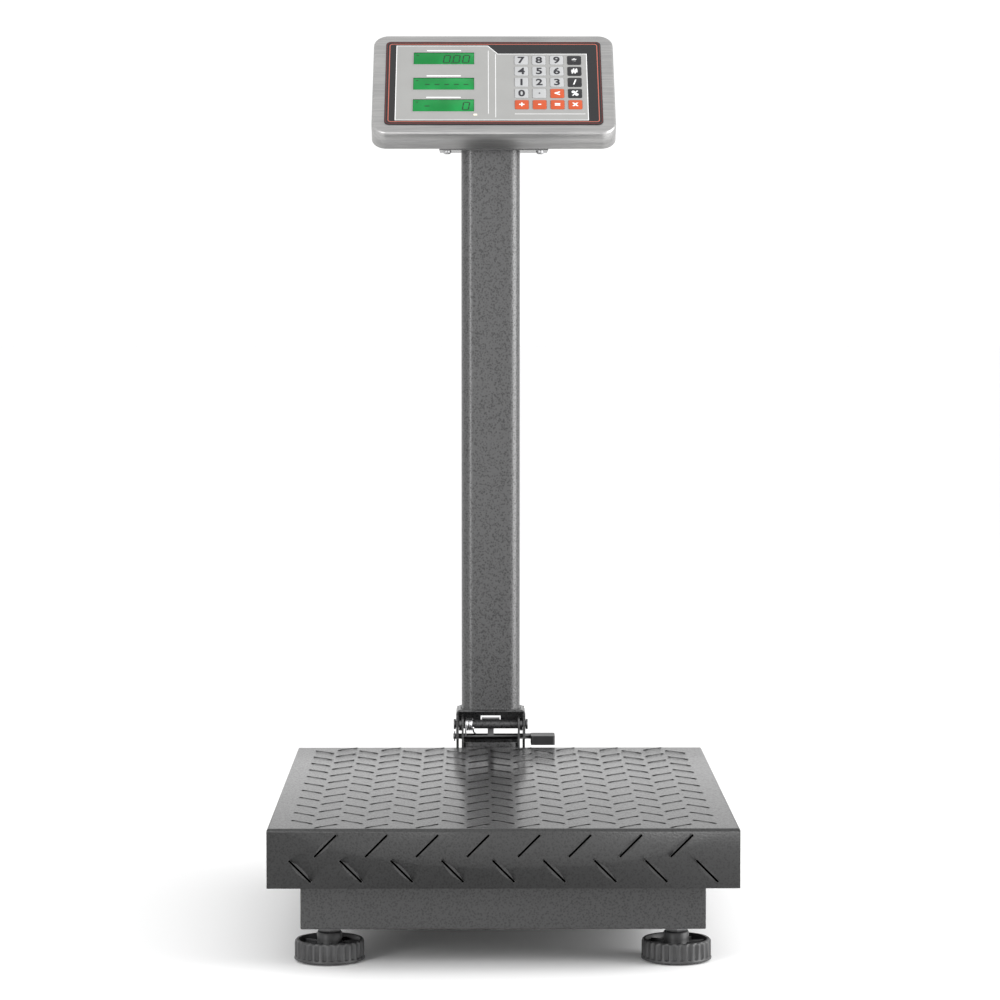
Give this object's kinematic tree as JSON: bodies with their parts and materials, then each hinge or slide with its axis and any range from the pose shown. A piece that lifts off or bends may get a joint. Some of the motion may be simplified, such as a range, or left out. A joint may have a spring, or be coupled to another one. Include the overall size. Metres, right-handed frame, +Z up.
{
  "type": "bench scale",
  "caption": "Folding bench scale: treaded weighing platform on screw feet, tube mast on a locking fold hinge, tilted display head with keypad.",
  "frame": {"origin": "on the floor, under the middle of the scale's overall box", "axes": "+Z up, -Y towards the user, +X to the user's right"},
  "size_m": [0.4, 0.61, 0.8328],
  "materials": {
    "hammered_paint": "hammered dark grey enamel, satin gloss",
    "zinc_steel": "zinc plated, dull",
    "spring_steel": "bright drawn wire",
    "cell_aluminium": "milled",
    "pvc_grip": "dipped black vinyl",
    "foot_plastic": "moulded black, slightly dusty",
    "foot_rubber": "moulded rubber",
    "brushed_stainless": "brushed along its width",
    "back_steel": "textured grey powder coat",
    "overlay_film": "printed film, semi gloss",
    "white_key": "printed dome",
    "orange_key": "printed dome",
    "black_key": "printed dome",
    "lcd_green": "backlit glass",
    "board_green": "solder mask",
    "battery_case": "moulded case",
    "switch_plastic": "moulded black"
  },
  "bodies": {
    "base": {"base_end_rails": "hammered_paint", "base_side_rails": "hammered_paint", "base_cross_member": "hammered_paint", "post_arm": "hammered_paint", "foot_nuts": "zinc_steel", "load_cell": "cell_aluminium", "cell_lower_bolts": "zinc_steel", "overload_stops": "zinc_steel", "hinge_post": "hammered_paint", "pivot_barrel": "zinc_steel", "pivot_pin": "zinc_steel", "pivot_washers": "zinc_steel", "lock_spring": "spring_steel"},
    "weigh_frame": {"weigh_bars": "hammered_paint", "weigh_spine": "hammered_paint", "cell_upper_bolts": "zinc_steel", "platform_pads": "foot_rubber"},
    "platform": {"platform_pan": "hammered_paint"},
    "lock_lever": {"lock_rod": "zinc_steel", "lever_grip": "pvc_grip"},
    "mast": {"pole_bracket": "hammered_paint", "pole_tube": "hammered_paint", "mount_plate": "hammered_paint", "mount_screws": "zinc_steel", "housing_cover": "brushed_stainless", "housing_back": "back_steel", "keypad_overlay": "overlay_film", "lcd_glasses": "lcd_green", "circuit_board": "board_green", "battery": "battery_case", "power_inlets": "switch_plastic"},
    "power_rocker": {"power_rocker": "switch_plastic"},
    "foot_pad_front_left": {"foot_pad_front_left": "foot_rubber"},
    "foot_wheel_front_left": {"foot_wheel_front_left": "foot_plastic"},
    "foot_pad_front_right": {"foot_pad_front_right": "foot_rubber"},
    "foot_wheel_front_right": {"foot_wheel_front_right": "foot_plastic"},
    "foot_pad_rear_left": {"foot_pad_rear_left": "foot_rubber"},
    "foot_wheel_rear_left": {"foot_wheel_rear_left": "foot_plastic"},
    "foot_pad_rear_right": {"foot_pad_rear_right": "foot_rubber"},
    "foot_wheel_rear_right": {"foot_wheel_rear_right": "foot_plastic"},
    "key_7": {"key_7": "white_key"},
    "key_8": {"key_8": "white_key"},
    "key_9": {"key_9": "white_key"},
    "key_price": {"key_price": "black_key"},
    "key_4": {"key_4": "white_key"},
    "key_5": {"key_5": "white_key"},
    "key_6": {"key_6": "white_key"},
    "key_store": {"key_store": "black_key"},
    "key_1": {"key_1": "white_key"},
    "key_2": {"key_2": "white_key"},
    "key_3": {"key_3": "white_key"},
    "key_change": {"key_change": "black_key"},
    "key_0": {"key_0": "white_key"},
    "key_point": {"key_point": "white_key"},
    "key_clear": {"key_clear": "orange_key"},
    "key_unit": {"key_unit": "black_key"},
    "key_add": {"key_add": "orange_key"},
    "key_tare": {"key_tare": "orange_key"},
    "key_zero": {"key_zero": "orange_key"},
    "key_total": {"key_total": "orange_key"}
  },
  "joints": [
    {"name": "weigh_travel", "type": "slide", "parent": "base", "child": "weigh_frame", "axis": [0, 0, 1], "range_m": [-0.0005, 0], "stiffness_N_per_m": 5000000, "deforming": ["load_cell"]},
    {"name": "platform_lift", "type": "slide", "parent": "weigh_frame", "child": "platform", "axis": [0, 0, -1], "range_m": [-0.06, 0]},
    {"name": "pole_fold", "type": "hinge", "parent": "base", "child": "mast", "pos_m": [-0.009, 0.219, 0.145], "axis": [1, 0, 0], "range_deg": [0, 90]},
    {"name": "lock_release", "type": "hinge", "parent": "base", "child": "lock_lever", "pos_m": [-0.009, 0.233, 0.131], "axis": [1, 0, 0], "range_deg": [0, 14], "stiffness_Nm_per_rad": 0.15, "springref_deg": -17.19, "deforming": ["lock_spring"]},
    {"name": "power_switch", "type": "hinge", "parent": "mast", "child": "power_rocker", "pos_m": [0.02, 0.278, 0.739], "axis": [1, 0, 0], "range_deg": [0, 14]},
    {"name": "foot_height_front_left", "type": "slide", "parent": "base", "child": "foot_pad_front_left", "axis": [0, 0, 1], "range_m": [-0.0088, 0]},
    {"name": "foot_turn_front_left", "type": "hinge", "parent": "foot_pad_front_left", "child": "foot_wheel_front_left", "pos_m": [-0.15, -0.238, 0.01], "axis": [0, 0, 1], "range_deg": [-1800, 0]},
    {"name": "foot_height_front_right", "type": "slide", "parent": "base", "child": "foot_pad_front_right", "axis": [0, 0, 1], "range_m": [-0.0088, 0]},
    {"name": "foot_turn_front_right", "type": "hinge", "parent": "foot_pad_front_right", "child": "foot_wheel_front_right", "pos_m": [0.15, -0.238, 0.01], "axis": [0, 0, 1], "range_deg": [-1800, 0]},
    {"name": "foot_height_rear_left", "type": "slide", "parent": "base", "child": "foot_pad_rear_left", "axis": [0, 0, 1], "range_m": [-0.0088, 0]},
    {"name": "foot_turn_rear_left", "type": "hinge", "parent": "foot_pad_rear_left", "child": "foot_wheel_rear_left", "pos_m": [-0.15, 0.128, 0.01], "axis": [0, 0, 1], "range_deg": [-1800, 0]},
    {"name": "foot_height_rear_right", "type": "slide", "parent": "base", "child": "foot_pad_rear_right", "axis": [0, 0, 1], "range_m": [-0.0088, 0]},
    {"name": "foot_turn_rear_right", "type": "hinge", "parent": "foot_pad_rear_right", "child": "foot_wheel_rear_right", "pos_m": [0.15, 0.128, 0.01], "axis": [0, 0, 1], "range_deg": [-1800, 0]},
    {"name": "press_7", "type": "slide", "parent": "mast", "child": "key_7", "axis": [0, 0.6833, -0.7302], "range_m": [0, 0.0004], "stiffness_N_per_m": 1000},
    {"name": "press_8", "type": "slide", "parent": "mast", "child": "key_8", "axis": [0, 0.6833, -0.7302], "range_m": [0, 0.0004], "stiffness_N_per_m": 1000},
    {"name": "press_9", "type": "slide", "parent": "mast", "child": "key_9", "axis": [0, 0.6833, -0.7302], "range_m": [0, 0.0004], "stiffness_N_per_m": 1000},
    {"name": "press_price", "type": "slide", "parent": "mast", "child": "key_price", "axis": [0, 0.6833, -0.7302], "range_m": [0, 0.0004], "stiffness_N_per_m": 1000},
    {"name": "press_4", "type": "slide", "parent": "mast", "child": "key_4", "axis": [0, 0.6833, -0.7302], "range_m": [0, 0.0004], "stiffness_N_per_m": 1000},
    {"name": "press_5", "type": "slide", "parent": "mast", "child": "key_5", "axis": [0, 0.6833, -0.7302], "range_m": [0, 0.0004], "stiffness_N_per_m": 1000},
    {"name": "press_6", "type": "slide", "parent": "mast", "child": "key_6", "axis": [0, 0.6833, -0.7302], "range_m": [0, 0.0004], "stiffness_N_per_m": 1000},
    {"name": "press_store", "type": "slide", "parent": "mast", "child": "key_store", "axis": [0, 0.6833, -0.7302], "range_m": [0, 0.0004], "stiffness_N_per_m": 1000},
    {"name": "press_1", "type": "slide", "parent": "mast", "child": "key_1", "axis": [0, 0.6833, -0.7302], "range_m": [0, 0.0004], "stiffness_N_per_m": 1000},
    {"name": "press_2", "type": "slide", "parent": "mast", "child": "key_2", "axis": [0, 0.6833, -0.7302], "range_m": [0, 0.0004], "stiffness_N_per_m": 1000},
    {"name": "press_3", "type": "slide", "parent": "mast", "child": "key_3", "axis": [0, 0.6833, -0.7302], "range_m": [0, 0.0004], "stiffness_N_per_m": 1000},
    {"name": "press_change", "type": "slide", "parent": "mast", "child": "key_change", "axis": [0, 0.6833, -0.7302], "range_m": [0, 0.0004], "stiffness_N_per_m": 1000},
    {"name": "press_0", "type": "slide", "parent": "mast", "child": "key_0", "axis": [0, 0.6833, -0.7302], "range_m": [0, 0.0004], "stiffness_N_per_m": 1000},
    {"name": "press_point", "type": "slide", "parent": "mast", "child": "key_point", "axis": [0, 0.6833, -0.7302], "range_m": [0, 0.0004], "stiffness_N_per_m": 1000},
    {"name": "press_clear", "type": "slide", "parent": "mast", "child": "key_clear", "axis": [0, 0.6833, -0.7302], "range_m": [0, 0.0004], "stiffness_N_per_m": 1000},
    {"name": "press_unit", "type": "slide", "parent": "mast", "child": "key_unit", "axis": [0, 0.6833, -0.7302], "range_m": [0, 0.0004], "stiffness_N_per_m": 1000},
    {"name": "press_add", "type": "slide", "parent": "mast", "child": "key_add", "axis": [0, 0.6833, -0.7302], "range_m": [0, 0.0004], "stiffness_N_per_m": 1000},
    {"name": "press_tare", "type": "slide", "parent": "mast", "child": "key_tare", "axis": [0, 0.6833, -0.7302], "range_m": [0, 0.0004], "stiffness_N_per_m": 1000},
    {"name": "press_zero", "type": "slide", "parent": "mast", "child": "key_zero", "axis": [0, 0.6833, -0.7302], "range_m": [0, 0.0004], "stiffness_N_per_m": 1000},
    {"name": "press_total", "type": "slide", "parent": "mast", "child": "key_total", "axis": [0, 0.6833, -0.7302], "range_m": [0, 0.0004], "stiffness_N_per_m": 1000}
  ],
  "couplings": [
    {"joint": "foot_height_front_left", "follows": "foot_turn_front_left", "m_per_rad": 0.00027852},
    {"joint": "foot_height_front_right", "follows": "foot_turn_front_right", "m_per_rad": 0.00027852},
    {"joint": "foot_height_rear_left", "follows": "foot_turn_rear_left", "m_per_rad": 0.00027852},
    {"joint": "foot_height_rear_right", "follows": "foot_turn_rear_right", "m_per_rad": 0.00027852}
  ]
}
